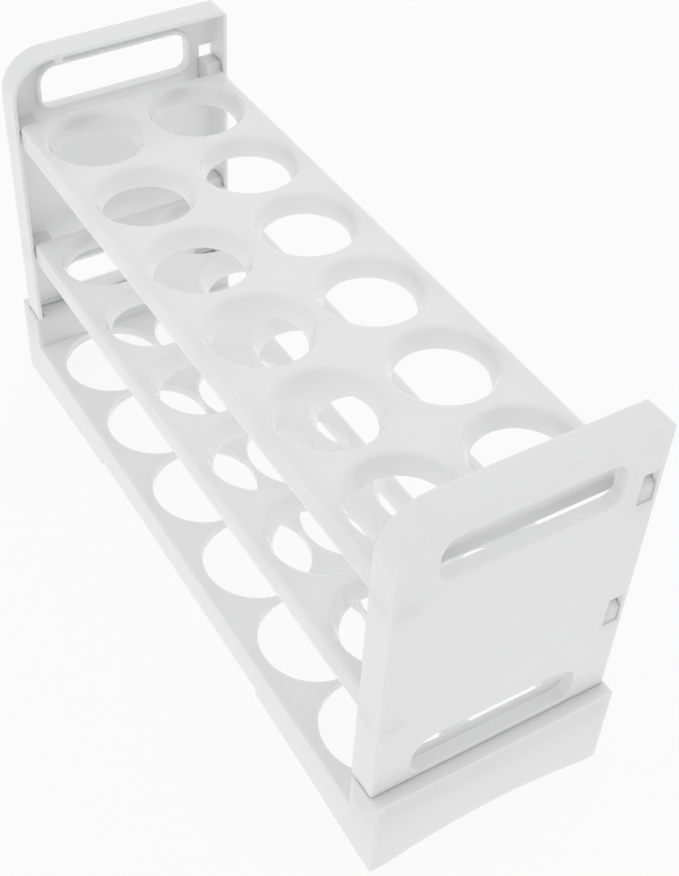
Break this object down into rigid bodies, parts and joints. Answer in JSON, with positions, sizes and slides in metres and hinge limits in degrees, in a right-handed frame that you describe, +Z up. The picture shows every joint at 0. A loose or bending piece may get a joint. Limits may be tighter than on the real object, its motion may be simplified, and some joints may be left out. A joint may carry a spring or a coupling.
{
  "type": "egg storage rack",
  "caption": "Tiered egg storage rack: shelves of funnel-shaped collars over an open base, snapped between tray-shaped end plates with handle slots.",
  "frame": {"origin": "middle of the footprint, on the surface that the rack stands on", "axes": "+X along the rack to the right end plate, +Y across it to the back, where the plates have their small corners and snap windows, +Z up"},
  "size_m": [0.336, 0.11, 0.186],
  "materials": {
    "white_plastic": "glossy, slightly milky white"
  },
  "bodies": {
    "root": {"base": "white_plastic", "middle_shelf": "white_plastic", "top_shelf": "white_plastic", "right_end_plate": "white_plastic", "left_end_plate": "white_plastic"}
  },
  "joints": []
}
